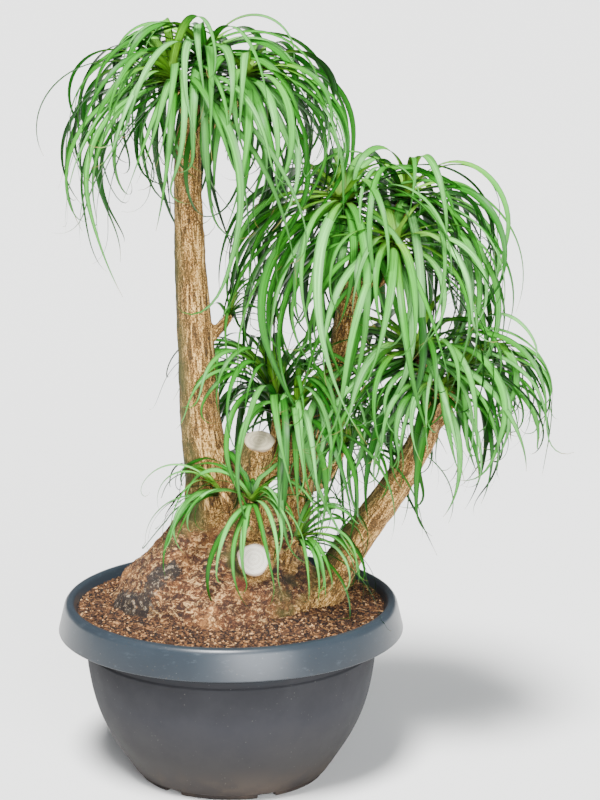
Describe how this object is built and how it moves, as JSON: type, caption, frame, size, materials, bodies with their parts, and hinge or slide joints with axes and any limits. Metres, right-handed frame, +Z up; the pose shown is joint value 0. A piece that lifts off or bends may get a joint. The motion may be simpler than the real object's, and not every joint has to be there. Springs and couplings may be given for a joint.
{
  "type": "potted ponytail palm",
  "caption": "Potted ponytail palm: a swollen caudex with bare trunks and sawn stumps, heads of long arching strap leaves, in a bowl-shaped nursery pot filled with soil.",
  "frame": {"origin": "centre of the pot's underside, on the surface it stands on", "axes": "+Z up; -Y towards the front of the plant, where both sawn faces look; +X to the right seen from the front"},
  "size_m": [0.8682, 0.638, 1.3298],
  "materials": {
    "pot": "satin",
    "soil": "matte",
    "bark": "matte",
    "leaf": "satin"
  },
  "bodies": {
    "root": {"pot": "pot", "soil": "soil", "caudex_and_trunks": "bark", "left_head_front": "leaf", "left_head_back": "leaf", "left_head_right": "leaf", "middle_head_left": "leaf", "middle_head_front": "leaf", "middle_head_right": "leaf", "right_head_front": "leaf", "right_head_low": "leaf", "right_head_back": "leaf", "shoot_behind_stump": "leaf", "shoot_centre": "leaf", "shoot_front": "leaf", "shoot_right": "leaf", "shoot_left": "leaf", "trunk_sprig": "leaf", "shoot_behind_right": "leaf"}
  },
  "joints": []
}
